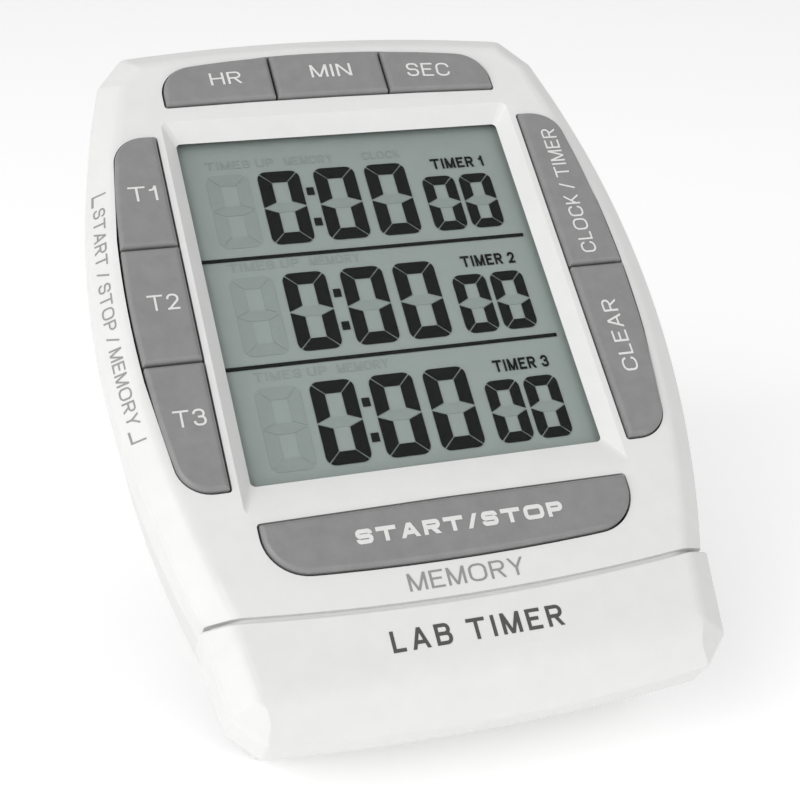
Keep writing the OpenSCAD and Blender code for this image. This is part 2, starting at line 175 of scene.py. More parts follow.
def row_key(x0, x1, r0, r1, g):
    """A key of the top row, from x0 to x1, with the radii of its upper corners."""
    r0, r1, low = grown(r0, g), grown(r1, g), grown(INNER_ROUND, g)
    a, b = x0 - g, x1 + g
    points = [(a, row_low(a, g), low)]
    points += [(x, row_low(x, g), 0) for x in steps(a * 0.75 + b * 0.25, a * 0.25 + b * 0.75, 4)]
    points += [(b, row_low(b, g), low), (b, row_high(b, g), r1)]
    a1, b1 = x0 + (x1 - x0) * 0.32, x0 + (x1 - x0) * 0.68
    points += [(x, row_high(x, g), 0) for x in steps(b1, a1, 6)]
    points += [(a, row_high(a, g), r0)]
    return rounded(points, 10)


def col_x(y, g):
    return COL_OUT + g - (y - COL_MID_Y) ** 2 / COL_BOW


def col_key(y0, y1, r0, r1, g):
    """A key of the right-hand column, from y0 to y1, with the radii of its outer corners."""
    r0, r1, low = grown(r0, g), grown(r1, g), grown(INNER_ROUND, g)
    a, b = y0 - g, y1 + g
    a1, b1 = y0 + (y1 - y0) * 0.3, y0 + (y1 - y0) * 0.7
    points = [(COL_IN - g, a, low), (col_x(a, g), a, r0)]
    points += [(col_x(y, g), y, 0) for y in steps(a1, b1, 8)]
    points += [(col_x(b, g), b, r1), (COL_IN - g, b, low)]
    return rounded(points, 10)


def start_low(x, g):
    return START_LOW - g + x * x * START_BOW


def start_outline(g):
    w, r, low = ROW_W + g, START_ROUND + g, grown(INNER_ROUND, g)
    points = [(-w, start_low(w, g), r)]
    points += [(x, start_low(x, g), 0) for x in steps(-15, 15, 14)]
    points += [(w, start_low(w, g), r), (w, START_HIGH - START_RISE + g, low)]
    points += [(0, START_HIGH + g, 0), (-w, START_HIGH - START_RISE + g, low)]
    return rounded(points, 12)


def box_ring(x0, x1, y0, y1, r, n=6):
    return rounded([(x0, y0, r), (x1, y0, r), (x1, y1, r), (x0, y1, r)], n)


# ---------------------------------------------------------------------------
# Meshes. Everything is made in the flat place and carried over at the end.
# ---------------------------------------------------------------------------

def new_object(name, mesh):
    obj = bpy.data.objects.new(name, mesh)
    bpy.context.scene.collection.objects.link(obj)
    return obj


def from_bmesh(name, bm):
    mesh = bpy.data.meshes.new(name)
    bm.normal_update()
    bm.to_mesh(mesh)
    bm.free()
    return new_object(name, mesh)


def add_loft(bm, rings, caps=(True, True)):
    """Skins matching rings of 3-D points, lowest first, each running anticlockwise."""
    rows = [[bm.verts.new(p) for p in ring] for ring in rings]
    n = len(rows[0])
    for low, high in zip(rows, rows[1:]):
        for i in range(n):
            bm.faces.new((low[i], low[(i + 1) % n], high[(i + 1) % n], high[i]))
    if caps[0]:
        bm.faces.new(list(reversed(rows[0])))
    if caps[1]:
        bm.faces.new(rows[-1])
    return rows


def raised(points, z):
    return [(p[0], p[1], z) for p in points]


def loft(name, rings):
    bm = bmesh.new()
    add_loft(bm, rings)
    return from_bmesh(name, bm)


def slab(name, points, z0, z1):
    return loft(name, [raised(points, z0), raised(points, z1)])


def block(name, a, b):
    return slab(name, [(a[0], a[1]), (b[0], a[1]), (b[0], b[1]), (a[0], b[1])], a[2], b[2])


def ring_at(x, y, r, n=48):
    return [
        (x + r * math.cos(2 * math.pi * i / n), y + r * math.sin(2 * math.pi * i / n))
        for i in range(n)
    ]


def apply_modifiers(obj):
    depsgraph = bpy.context.evaluated_depsgraph_get()
    mesh = bpy.data.meshes.new_from_object(obj.evaluated_get(depsgraph))
    old = obj.data
    obj.modifiers.clear()
    obj.data = mesh
    bpy.data.meshes.remove(old)


def boolean(obj, others, how="DIFFERENCE"):
    for other in others:
        mod = obj.modifiers.new("cut", "BOOLEAN")
        mod.operation = how
        mod.object = other
        mod.solver = "EXACT"
    apply_modifiers(obj)
    for other in others:
        mesh = other.data
        bpy.data.objects.remove(other)
        bpy.data.meshes.remove(mesh)
    return obj


def clean(obj, flat=0.6):
    """Joins doubled points and removes the stray edges that a cut leaves on flat faces."""
    bm = bmesh.new()
    bm.from_mesh(obj.data)
    bmesh.ops.remove_doubles(bm, verts=bm.verts, dist=0.002)
    bmesh.ops.dissolve_degenerate(bm, dist=0.002, edges=bm.edges)
    if flat:
        bmesh.ops.dissolve_limit(
            bm, angle_limit=math.radians(flat), verts=bm.verts, edges=bm.edges,
            delimit={"NORMAL"}
        )
    bm.to_mesh(obj.data)
    bm.free()
    return obj


def soften(obj, width=0.2, angle=22, segments=3):
    """Rounds the edges that turn by more than angle."""
    mod = obj.modifiers.new("soften", "BEVEL")
    mod.width = width
    mod.segments = segments
    mod.limit_method = "ANGLE"
    mod.angle_limit = math.radians(angle)
    mod.miter_outer = "MITER_ARC"
    mod.use_clamp_overlap = True
    apply_modifiers(obj)
    return obj


def round_seam(obj, radius, width=0.3):
    """Rounds the outer edges that lie on a circle about the seam's middle."""
    bm = bmesh.new()
    bm.from_mesh(obj.data)

    def outer(v):
        far = math.hypot(v.co.x, v.co.y - SEAM_Y - SEAM_R)
        shown = v.co.z > 0.3 or (abs(v.co.x) > 27.9 and v.co.z > PART_Z + 0.01)
        low = abs(v.co.x) > 28.4 and v.co.z <= PART_Z + 0.01
        return abs(far - radius) < 0.03 and (shown or low)

    picked = [e for e in bm.edges if outer(e.verts[0]) and outer(e.verts[1])]
    picked = [e for e in picked if max(v.co.z for v in e.verts) > PART_Z + 0.01]
    bmesh.ops.bevel(
        bm, geom=picked, offset=width, segments=5, affect="EDGES", profile=0.5,
        clamp_overlap=True
    )
    bm.to_mesh(obj.data)
    bm.free()


def smooth(obj, angle=35):
    for face in obj.data.polygons:
        face.use_smooth = True
    obj.data.set_sharp_from_angle(angle=math.radians(angle))
    mod = obj.modifiers.new("normals", "WEIGHTED_NORMAL")
    mod.keep_sharp = True
    mod.weight = 80
    apply_modifiers(obj)
    return obj


def settle(obj, body, material, slot, *nodes):
    """Carries a finished piece into the frame, gives it its material and body, and hides the CAD
    nodes that it stands for.
    """
    obj.data.transform(FLAT)
    obj.data.materials.clear()
    obj.data.materials.append(material)
    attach(obj, body)
    if nodes:
        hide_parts(*nodes)


# ---------------------------------------------------------------------------
# Materials
# ---------------------------------------------------------------------------

def srgb(text):
    def linear(c):
        return c / 12.92 if c <= 0.04045 else ((c + 0.055) / 1.055) ** 2.4
    return tuple(linear(int(text[i:i + 2], 16) / 255) for i in (0, 2, 4)) + (1.0,)


def shade(color, k):
    return tuple(min(c * k, 1) for c in color[:3]) + (1.0,)


def node(tree, kind, **values):
    made = tree.nodes.new(kind)
    for key, value in values.items():
        if key in made.inputs:
            made.inputs[key].default_value = value
        else:
            setattr(made, key, value)
    return made


def surface(name, color, rough=0.4, spread=0.03, grain=900, bump=0.12, rough_spread=0.06,
            metallic=0.0, specular=0.5, depth=0.00002):
    """A moulded or plated surface: a faint mottle, a fine grain and uneven gloss."""
    mat = bpy.data.materials.new(name)
    mat.use_nodes = True
    tree = mat.node_tree
    tree.nodes.clear()
    out = node(tree, "ShaderNodeOutputMaterial")
    shader = node(tree, "ShaderNodeBsdfPrincipled")
    shader.inputs["Metallic"].default_value = metallic
    shader.inputs["Specular IOR Level"].default_value = specular
    where = node(tree, "ShaderNodeTexCoord")
    mottle = node(tree, "ShaderNodeTexNoise", Scale=grain * 0.35, Detail=4.0, Roughness=0.6)
    tint = node(tree, "ShaderNodeValToRGB")
    tint.color_ramp.elements[0].position = 0.3
    tint.color_ramp.elements[0].color = shade(color, 1 - spread)
    tint.color_ramp.elements[1].position = 0.7
    tint.color_ramp.elements[1].color = shade(color, 1 + spread)
    cloud = node(tree, "ShaderNodeTexNoise", Scale=60.0, Detail=3.0)
    gloss = node(tree, "ShaderNodeMapRange")
    gloss.inputs["To Min"].default_value = rough - rough_spread
    gloss.inputs["To Max"].default_value = rough + rough_spread
    fine = node(tree, "ShaderNodeTexNoise", Scale=grain * 3.0, Detail=2.0)
    dent = node(tree, "ShaderNodeBump", Strength=bump, Distance=depth)
    link = tree.links.new
    for texture in (mottle, cloud, fine):
        link(where.outputs["Object"], texture.inputs["Vector"])
    link(mottle.outputs["Fac"], tint.inputs["Fac"])
    link(tint.outputs["Color"], shader.inputs["Base Color"])
    link(cloud.outputs["Fac"], gloss.inputs["Value"])
    link(gloss.outputs["Result"], shader.inputs["Roughness"])
    link(fine.outputs["Fac"], dent.inputs["Height"])
    link(dent.outputs["Normal"], shader.inputs["Normal"])
    link(shader.outputs["BSDF"], out.inputs["Surface"])
    return mat


def shader_of(mat):
    return next(n for n in mat.node_tree.nodes if n.type == "BSDF_PRINCIPLED")


def add_painted_shade(mat, low, high, y0, y1):
    """Paints shade into the colour: multiplies it by a factor that runs from low at y0 to high at
    y1 up the face.
    """
    tree = mat.node_tree
    shader = shader_of(mat)
    source = shader.inputs["Base Color"].links[0].from_socket
    where = node(tree, "ShaderNodeTexCoord")
    along = node(tree, "ShaderNodeVectorMath", operation="DOT_PRODUCT")
    along.inputs[1].default_value = UP
    share = node(tree, "ShaderNodeMapRange")
    share.inputs["From Min"].default_value = ORIGIN.dot(UP) + y0 / 1000
    share.inputs["From Max"].default_value = ORIGIN.dot(UP) + y1 / 1000
    ramp = node(tree, "ShaderNodeValToRGB")
    ramp.color_ramp.elements[0].color = (low, low, low, 1)
    ramp.color_ramp.elements[1].color = (high, high, high, 1)
    mix = node(tree, "ShaderNodeMix", data_type="RGBA", blend_type="MULTIPLY")
    mix.inputs[0].default_value = 1.0
    link = tree.links.new
    link(where.outputs["Object"], along.inputs[0])
    link(along.outputs["Value"], share.inputs["Value"])
    link(share.outputs["Result"], ramp.inputs["Fac"])
    link(source, mix.inputs[6])
    link(ramp.outputs["Color"], mix.inputs[7])
    link(mix.outputs[2], shader.inputs["Base Color"])


def clear_surface(name, color, alpha, rough):
    mat = surface(name, color, rough=rough, spread=0.01, bump=0.02, rough_spread=0.03)
    shader = shader_of(mat)
    shader.inputs["Alpha"].default_value = alpha
    shader.inputs["Specular IOR Level"].default_value = 0.3
    mat.surface_render_method = "BLENDED"
    return mat


CASING = surface("casing_white", srgb("DEDEDD"), rough=0.42, spread=0.018)
REAR = surface("rear_white", srgb("D9D9D8"), rough=0.48, spread=0.02, bump=0.2)
KEY = surface("key_grey", srgb("848484"), rough=0.34, spread=0.07, grain=1300, bump=0.25)
KEY_PRINT = surface("key_print", srgb("DADAD8"), rough=0.5, spread=0.03, grain=1500)
SIDE_PRINT = surface("side_print", srgb("909090"), rough=0.55, spread=0.05, grain=1500)
DARK_PRINT = surface("dark_print", srgb("4A4A4A"), rough=0.5, spread=0.05, grain=1500)
LCD = surface("lcd_grey_green", srgb("9AA5A1"), rough=0.5, spread=0.02, grain=1400, bump=0.05)
SEGMENT = surface("lcd_segment", srgb("161918"), rough=0.7, spread=0.08, specular=0.15)
GHOST = surface("lcd_ghost", srgb("929D99"), rough=0.55, spread=0.02, grain=1400)
# Painted shade: the display and its unlit bars darken towards the top, standing in for the shadow
# of the window's upper border
for shade_painted_mat in (LCD, GHOST):
    add_painted_shade(shade_painted_mat, 1.0, 0.93, -2, 24)
LENS = clear_surface("window_clear", srgb("303432"), 0.05, 0.1)
BLACK = surface("black_plastic", srgb("1C1C1D"), rough=0.5, spread=0.1)
BOARD = surface("board_green", srgb("1E5A32"), rough=0.35, spread=0.12, grain=500, bump=0.3)
RUBBER = surface("mat_rubber", srgb("BDBDB6"), rough=0.7, spread=0.04, bump=0.3)
ZEBRA = surface("zebra_rubber", srgb("C98A93"), rough=0.7, spread=0.1, grain=1400)
STEEL = surface("plated_steel", srgb("C9C9CB"), rough=0.28, spread=0.05, metallic=1.0)
BRASS = surface("brass_disc", srgb("C9A35A"), rough=0.3, spread=0.06, metallic=1.0)
WRAP = surface("cell_wrap", srgb("3A4048"), rough=0.3, spread=0.06, grain=500)
WRAP_BAND = surface("cell_band", srgb("A8713C"), rough=0.3, spread=0.06, grain=500)


# ---------------------------------------------------------------------------
# Camera, light and floor
# ---------------------------------------------------------------------------

CAMERA_AT, CAMERA_TURN = (-0.054184, -0.170565, 0.099818), (69.2437, 0.0920, -18.3405)
FOCAL, SENSOR = 69.551, 36
AIM = Vector((0, 0, 0.04))
KEY_OFFSET, KEY_SIZE, KEY_POWER = (-0.85, -0.55, 0.52), 1.0, 6.6
FRONT_OFFSET, FRONT_SIZE, FRONT_POWER = (0.35, -1.05, 0.46), 0.26, 1.0
AMBIENT, BACKDROP, FLOOR_GLOW = 0.67, 0.84, 0.19
WHITE = (1, 1, 1, 1)


def make_camera():
    data = bpy.data.cameras.new("camera")
    cam = new_object("camera", data)
    data.sensor_width = SENSOR
    data.lens = FOCAL
    data.clip_start, data.clip_end = 0.01, 30
    cam.location = CAMERA_AT
    cam.rotation_euler = [math.radians(a) for a in CAMERA_TURN]
    bpy.context.scene.camera = cam


def area_light(name, offset, size, power):
    """A round lamp that looks at AIM from the offset."""
    data = bpy.data.lights.new(name, "AREA")
    data.shape = "DISK"
    data.size = size
    data.energy = power
    lamp = new_object(name, data)
    lamp.location = AIM + Vector(offset)
    lamp.rotation_euler = (AIM - lamp.location).to_track_quat("-Z", "Y").to_euler()


def make_floor():
    bm = bmesh.new()
    add_loft(bm, [raised(ring_at(0, 0, r, 96), 0) for r in (9.0, 0.4)], (False, True))
    bmesh.ops.recalc_face_normals(bm, faces=bm.faces)
    floor = from_bmesh("floor", bm)
    pale = surface("floor_pale", srgb("FCFCFC"), rough=0.7, spread=0.002, grain=60, bump=0.02)
    shader = shader_of(pale)
    shader.inputs["Emission Color"].default_value = WHITE
    shader.inputs["Emission Strength"].default_value = FLOOR_GLOW
    floor.data.materials.append(pale)


def make_world():
    """Soft light from all round, with a backdrop that matches the far floor."""
    world = bpy.data.worlds.new("studio")
    bpy.context.scene.world = world
    world.use_nodes = True
    tree = world.node_tree
    ambient = tree.nodes["Background"]
    ambient.inputs["Color"].default_value = WHITE
    ambient.inputs["Strength"].default_value = AMBIENT
    seen = node(tree, "ShaderNodeBackground", Strength=BACKDROP)
    seen.inputs["Color"].default_value = WHITE
    path = node(tree, "ShaderNodeLightPath")
    mix = node(tree, "ShaderNodeMixShader")
    tree.links.new(path.outputs["Is Camera Ray"], mix.inputs[0])
    tree.links.new(ambient.outputs[0], mix.inputs[1])
    tree.links.new(seen.outputs[0], mix.inputs[2])
    tree.links.new(mix.outputs[0], tree.nodes["World Output"].inputs["Surface"])


make_camera()
make_floor()
make_world()
area_light("key", KEY_OFFSET, KEY_SIZE, KEY_POWER)
area_light("front", FRONT_OFFSET, FRONT_SIZE, FRONT_POWER)
bpy.context.scene.view_settings.view_transform = "Standard"


# ---------------------------------------------------------------------------
# Casing
# ---------------------------------------------------------------------------

# Heights that are clear of the casing below and above, for the pieces that cut it
BELOW, ABOVE = -8, 4
CEILING_Z, RIM_CEILING_Z = 0.05, -0.9
SEAM_WALL = 1.6


def seam_disc(radius, z0=BELOW, z1=ABOVE):
    """The part of the seam's circle near the casing, closed off above it."""
    half = math.asin(45 / radius)
    arc = [
        (radius * math.sin(a), SEAM_Y + SEAM_R - radius * math.cos(a))
        for a in steps(-half, half, 80)
    ]
    return slab("seam", arc + [(45, 60), (-45, 60)], z0, z1)


def edge_profile():
    """Inset and height from the foot of the wall, over the border, on to the face."""
    corners = [(0, PART_Z, 0), (0, RIM_Z, 1.1), (BORDER_W, FACE_Z, 3.0), (5.0, FACE_Z, 0)]
    return rounded(corners, 5, closed=False)


WINDOW = (-21, 21, -23.5, 23.5, 0.6)
WINDOW_EDGE = (-22.7, 22.7, -27.6, 25.9, 0.9)
WINDOW_ABOVE = (-23.7, 23.7, -30.0, 27.4, 0.9)


def front_cutters():
    """The shell's hollow, the sloping window opening and the key openings."""
    cut = [slab("cut", upper_outline(WALL), PART_Z - 1, RIM_CEILING_Z)]
    cut.append(slab("cut", upper_outline(BORDER_W), -1, CEILING_Z))
    cut = [boolean(c, [seam_disc(SEAM_R - SEAM_WALL)], "INTERSECT") for c in cut]
    window = ((WINDOW, -3), (WINDOW, 0), (WINDOW_EDGE, FACE_Z), (WINDOW_ABOVE, 2.6))
    cut.append(loft("cut", [raised(box_ring(*r), z) for r, z in window]))
    row = row_key(-ROW_W, ROW_W, ROW_ROUND, ROW_ROUND, KEY_GAP)
    column = col_key(COL_LOW, COL_HIGH, COL_ROUND, COL_ROUND, KEY_GAP)
    for opening in (row, column, mirrored(column), start_outline(KEY_GAP)):
        cut.append(slab("cut", opening, -2, 3))
    return cut


def seam_groove():
    """The shallow step along the shell's low end that shows as a groove at the seam."""
    outer = SEAM_R - SEAM_GAP / 2
    strip = seam_disc(outer + 0.5)
    boolean(strip, [seam_disc(outer - GROOVE_W, BELOW - 1, ABOVE + 1)])
    under = [(upper_outline(i + GROOVE_D), z - GROOVE_D) for i, z in edge_profile()]
    core = loft("core", [raised(under[0][0], BELOW - 1)] + [raised(*u) for u in under])
    return boolean(strip, [core])


# Screw posts on the right, for the casing and then for the board: x, y, radius, low end
POSTS = ((24.6, 30.6, 2.2, -5.9), (24.8, -33, 2.2, -5.9),
         (24.2, 26, 1.4, -4.35), (24.2, -27.2, 1.4, -4.35))


def make_front_shell():
    shell = loft("front_casing", [raised(upper_outline(i), z) for i, z in edge_profile()])
    boolean(shell, [seam_disc(SEAM_R - SEAM_GAP / 2)], "INTERSECT")
    boolean(shell, front_cutters())
    posts = []
    for x, y, r, z in POSTS:
        posts += [slab("post", ring_at(s * x, y, r, 32), z, 0.3) for s in (-1, 1)]
    posts += [block("tongue", (x - 5, -45.8, -1.4), (x + 5, -38.6, -0.35)) for x in (-13, 13)]
    boolean(shell, posts, "UNION")
    boolean(shell, [seam_groove()])
    clean(shell)
    soften(shell, 0.15)
    smooth(shell)
    settle(shell, "casing", CASING, "casing_plastic", "front_shell")


make_front_shell()


# ---------------------------------------------------------------------------
# Keys
# ---------------------------------------------------------------------------

KEY_ROUND = 0.6
H = KEY_GAP / 2
SPLIT_X, SPLIT_T1, SPLIT_T3, SPLIT_RIGHT, SPLIT_ROUND = 7.4, 7.5, -8.2, -0.37, 0.25


def left_key(*sizes):
    """A key of the left-hand column, which mirrors the right-hand one."""
    return mirrored(col_key(*sizes))


KEYS = {
    "hr_key": lambda g: row_key(-ROW_W, -SPLIT_X - H, ROW_ROUND, SPLIT_ROUND, g),
    "min_key": lambda g: row_key(-SPLIT_X + H, SPLIT_X - H, SPLIT_ROUND, SPLIT_ROUND, g),
    "sec_key": lambda g: row_key(SPLIT_X + H, ROW_W, SPLIT_ROUND, ROW_ROUND, g),
    "t1_key": lambda g: left_key(SPLIT_T1 + H, COL_HIGH, SPLIT_ROUND, COL_ROUND, g),
    "t2_key": lambda g: left_key(SPLIT_T3 + H, SPLIT_T1 - H, SPLIT_ROUND, SPLIT_ROUND, g),
    "t3_key": lambda g: left_key(COL_LOW, SPLIT_T3 - H, COL_ROUND, SPLIT_ROUND, g),
    "clock_key": lambda g: col_key(SPLIT_RIGHT + H, COL_HIGH, SPLIT_ROUND, COL_ROUND, g),
    "clear_key": lambda g: col_key(COL_LOW, SPLIT_RIGHT - H, COL_ROUND, SPLIT_ROUND, g),
    "start_key": start_outline,
}


def flange_and_plunger(name):
    """The key's lower parts, from where the CAD node has them."""
    verts = [TO_FLAT @ v.co for v in frame["nodes"][name].data.vertices]
    flange = [v for v in verts if -0.3 < v.z < -0.1]
    stem = [v for v in verts if v.z < -1.8]
    x0, x1 = min(v.x for v in flange), max(v.x for v in flange)
    y0, y1 = min(v.y for v in flange), max(v.y for v in flange)
    middle = sum(stem, Vector()) / len(stem)
    parts = [block("flange", (x0, y0, KEY_FOOT), (x1, y1, -0.15))]
    parts.append(slab("stem", ring_at(middle.x, middle.y, 1.2, 32), -1.9, -0.8))
    return parts


def make_key(name, outline):
    corner = [(0, KEY_FOOT, 0), (0, KEY_TOP, KEY_ROUND), (3, KEY_TOP, 0)]
    profile = rounded(corner, 7, closed=False)[:-1]
    key = loft(name + "_cap", [raised(outline(-i), z) for i, z in profile])
    boolean(key, flange_and_plunger(name), "UNION")
    smooth(key, 50)
    settle(key, name, KEY, "key_plastic", name)


for key_name, key_outline in KEYS.items():
    make_key(key_name, key_outline)


# ---------------------------------------------------------------------------
# Lower band, and the pieces that keep the CAD node's shape with softer edges
# ---------------------------------------------------------------------------

def round_over(radius):
    """Everything inside the band's rounded lower edge, where radius is ROUND_R outside."""
    z = FACE_Z - ROUND_R
    arc = [(ROUND_Y - radius * math.sin(a), z + radius * math.cos(a))
           for a in steps(0, math.radians(80), 40)]
    low, half = -14, 40
    side = [(0, z + radius)] + arc + [(arc[-1][0], low), (0, low)]
    return loft("round", [[(x, y, w) for y, w in side] for x in (-half, half)])


def band_outline(i):
    """The lower band, moved in by i, and on up behind the seam."""
    corner, high, r = CORNER_D[0] + STEP_D * i, -30, 0.9
    half = [(x, base_y(x, i), 0) for x in steps(0.5, corner - 2, 12)]
    half += [(corner, base_y(corner, i), r), (*moved(CORNER_C, STEP_C, i), r)]
    half += [(band_x(high, i), high, 0)]
    return rounded(half + mirrored(half), 6)


def make_lower_fascia():
    band = loft("lower_band", [raised(band_outline(i), z) for i, z in edge_profile()])
    boolean(band, [round_over(ROUND_R)], "INTERSECT")
    hollow = slab("cut", band_outline(WALL), PART_Z - 1, CEILING_Z)
    boolean(hollow, [round_over(ROUND_R - (FACE_Z - CEILING_Z))], "INTERSECT")
    boolean(band, [hollow, seam_disc(SEAM_R + SEAM_GAP / 2, BELOW - 2)])
    clean(band)
    round_seam(band, SEAM_R + SEAM_GAP / 2)
    soften(band, 0.24)
    smooth(band)
    settle(band, "casing", CASING, "casing_plastic", "lower_fascia")


def refine(name, body, material, slot, width=0.2, angle=25, flat=0.6):
    """A copy of a CAD node with its edges rounded, which stands for that node."""
    obj = new_object(name + "_fine", frame["nodes"][name].data.copy())
    obj.data.transform(TO_FLAT)
    clean(obj, flat)
    soften(obj, width, angle)
    smooth(obj)
    settle(obj, body, material, slot, name)
    return obj


make_lower_fascia()
refine("rear_shell", "casing", REAR, "rear_plastic", 0.3)
refine("battery_door", "battery_door", REAR, "rear_plastic", 0.12, flat=0)
refine("stand", "stand", REAR, "rear_plastic", 0.3)
refine("magnets", "casing", STEEL, "plated_steel", 0.2)
refine("case_screws", "casing", STEEL, "plated_steel", 0.08)


# ---------------------------------------------------------------------------
# Battery and its contacts
# ---------------------------------------------------------------------------

BAND_L, NIB_L = 9.0, 1.0


def flat_box(name):
    """The lowest and highest corners of a CAD node in the flat place."""
    verts = [TO_FLAT @ v.co for v in frame["nodes"][name].data.vertices]
    return [Vector([pick(v[k] for v in verts) for k in range(3)]) for pick in (min, max)]


def spun(name, profile, y, z, n=48):
    """Turns a profile of (radius, x) about the line along X at y, z."""
    turns = steps(0, 2 * math.pi, n)[:-1]
    rings = [[(x, y + r * math.cos(a), z + r * math.sin(a)) for a in turns] for r, x in profile]
    return loft(name, rings)


def make_cell():
    low, high = flat_box("battery")
    y, z = (low.y + high.y) / 2, (low.z + high.z) / 2
    r, x0, x1 = (high.y - low.y) / 2, low.x, high.x - NIB_L
    wrap = spun("cell_wrap", [(r - 1.2, x0 + 0.15), (r - 0.4, x0 + 0.06), (r, x0 + 0.45),
                              (r, x1 - BAND_L)], y, z)
    band = spun("cell_band", [(r, x1 - BAND_L), (r, x1 - 0.45), (r - 0.4, x1 - 0.06),
                              (r - 1.2, x1 - 0.15)], y, z)
    foot = spun("cell_foot", [(r - 1.0, x0 + 0.3), (r - 1.1, x0 + 0.02), (2.6, x0),
                              (2.4, x0 + 0.08)], y, z)
    cap = spun("cell_cap", [(r - 1.0, x1 - 0.3), (r - 1.15, x1 - 0.05), (2.3, x1 - 0.02),
                            (1.9, x1 + 0.1), (1.88, x1 + 0.8), (1.65, x1 + 0.99)], y, z)
    for obj in (wrap, band, foot, cap):
        smooth(obj, 40)
    settle(wrap, "casing", WRAP, "cell_wrap", "battery")
    settle(band, "casing", WRAP_BAND, "cell_wrap")
    for obj in (foot, cap):
        settle(obj, "casing", STEEL, "plated_steel")


def coil(name, middle, x0, x1, r0, r1, turns, wire, sides=10):
    """A conical spring about the line along X through middle (y, z)."""
    count = int(turns * 40)
    rings = []
    for i in range(count + 1):
        f = i / count
        a, r, x = 2 * math.pi * turns * f, r0 + (r1 - r0) * f, x0 + (x1 - x0) * f
        out = Vector((0, math.cos(a), math.sin(a)))
        at = Vector((x, *middle)) + out * r
        rings.append([
            at + wire * (math.cos(b) * out + math.sin(b) * SIDE)
            for b in steps(0, 2 * math.pi, sides)[:-1]
        ])
    obj = loft(name, rings)
    bm = bmesh.new()
    bm.from_mesh(obj.data)
    bmesh.ops.recalc_face_normals(bm, faces=bm.faces)
    bm.to_mesh(obj.data)
    bm.free()
    return obj


def make_terminals():
    low, high = flat_box("battery")
    middle = ((low.y + high.y) / 2, (low.z + high.z) / 2)
    low, high = flat_box("battery_spring")
    plate = block("spring_plate", low, (low.x + 0.35, high.y, high.z))
    soften(plate, 0.1)
    spring = coil("spring_coil", middle, low.x + 0.6, high.x - 0.3, 3.2, 2.2, 2.2, 0.27)
    low, high = flat_box("battery_contact")
    back = block("contact_plate", (high.x - 0.4, low.y, low.z), high)
    soften(back, 0.1)
    dome = spun("contact_dome", [(1.2, low.x), (1.9, low.x + 0.12), (2.3, low.x + 0.5),
                                 (2.4, low.x + 1.0), (2.4, high.x - 0.3)], *middle)
    for obj, nodes in ((plate, ("battery_spring",)), (spring, ()), (back, ("battery_contact",)),
                       (dome, ())):
        smooth(obj, 40)
        settle(obj, "casing", STEEL, "plated_steel", *nodes)


make_cell()
make_terminals()

# CAD nodes that keep their own mesh
KEPT = {
    "lcd_frame": BLACK, "zebra_strips": ZEBRA, "main_pcb": BOARD, "key_mat": RUBBER,
    "chip": BLACK, "crystal": STEEL, "pcb_screws": STEEL, "buzzer": BRASS,
    "window_lens": LENS,
}
for kept_name, kept_material in KEPT.items():
    mesh = frame["nodes"][kept_name].data
    mesh.materials.clear()
    mesh.materials.append(kept_material)


# ---------------------------------------------------------------------------
# Display
# ---------------------------------------------------------------------------

LCD_FACE, LCD_BACK = -0.84, -0.91
GHOST_Z = LCD_BACK + 0.03
PANEL, PANEL_LOW = (-22.4, 22.4, -25.1, 25.1, 0.3), -2.1
REAR_GLASS = (-21.8, -24.3, -3), (21.8, 24.3, -2)
LCD_SCALE, LCD_AT = 1.0056, (0.31, 0.52)

# Timer rows: the top of the first one's digits, the step down to the next, the places of
# the digits, and each size of digit as width, height and stroke
ROW_TOP, ROW_STEP, ROWS = 18.5, 15.0, 3
BIG_X, SMALL_X, GHOST_X, SMALL_DROP = (-12.0, -4.9, 1.7), (8.8, 13.7), -18.4, 2.5
BIG, SMALL = (5.3, 10.8, 1.65), (4.3, 8.3, 1.35)
COLON = (-6.25, -5.3)
RULE_X, RULE_Y, RULE_HALF = (-21.9, 19.9), (6.1, -8.7), 0.25


def on_lcd(x, y):
    return (x * LCD_SCALE + LCD_AT[0], y * LCD_SCALE + LCD_AT[1])


def plates(name, outlines, z, thick=0.03):
    bm = bmesh.new()
    for outline in outlines:
        add_loft(bm, [raised(outline, z), raised(outline, z + thick)])
    bmesh.ops.recalc_face_normals(bm, faces=bm.faces)
    return from_bmesh(name, bm)


def digit_zero(x, y, w, h, s):
    """The six lit bars of a nought whose top left corner is at (x, y)."""
    gap, r = 0.085, 1.15
    k = r * (1 - math.sqrt(0.5))
    mid, nip = y - h / 2, 0.8

    def arc(a0, a1):
        return [(x + r - r * math.cos(a), y - r + r * math.sin(a))
                for a in steps(math.radians(a0), math.radians(a1), 5)]

    half_top = [(x + s + gap, y - s)] + arc(49, 90)
    top = half_top + [(2 * x + w - px, py) for px, py in reversed(half_top)]
    left = arc(41, 0) + [(x, mid + gap), (x + s, mid + nip), (x + s, y - s - gap)]

    def flip_x(bar):
        return [(2 * x + w - px, py) for px, py in bar]

    def flip_y(bar):
        return [(px, 2 * mid - py) for px, py in bar]

    return [top, left, flip_x(left), flip_y(top), flip_y(left), flip_y(flip_x(left))]


def middle_bar(x, y, w, h, s):
    """The bar that a nought leaves unlit."""
    gap, mid, nip = 0.1, y - h / 2, 0.8
    right = [(x + w - s, mid - nip + gap), (x + w - gap, mid), (x + w - s, mid + nip - gap)]
    return right + [(x + s, mid + nip - gap), (x + gap, mid), (x + s, mid - nip + gap)]


def make_panel():
    back = slab("lcd_back", box_ring(*PANEL), PANEL_LOW, LCD_BACK)
    boolean(back, [block("rear_glass", *REAR_GLASS)], "UNION")
    soften(back, 0.1)
    smooth(back)
    settle(back, "casing", LCD, "display", "lcd_panel")


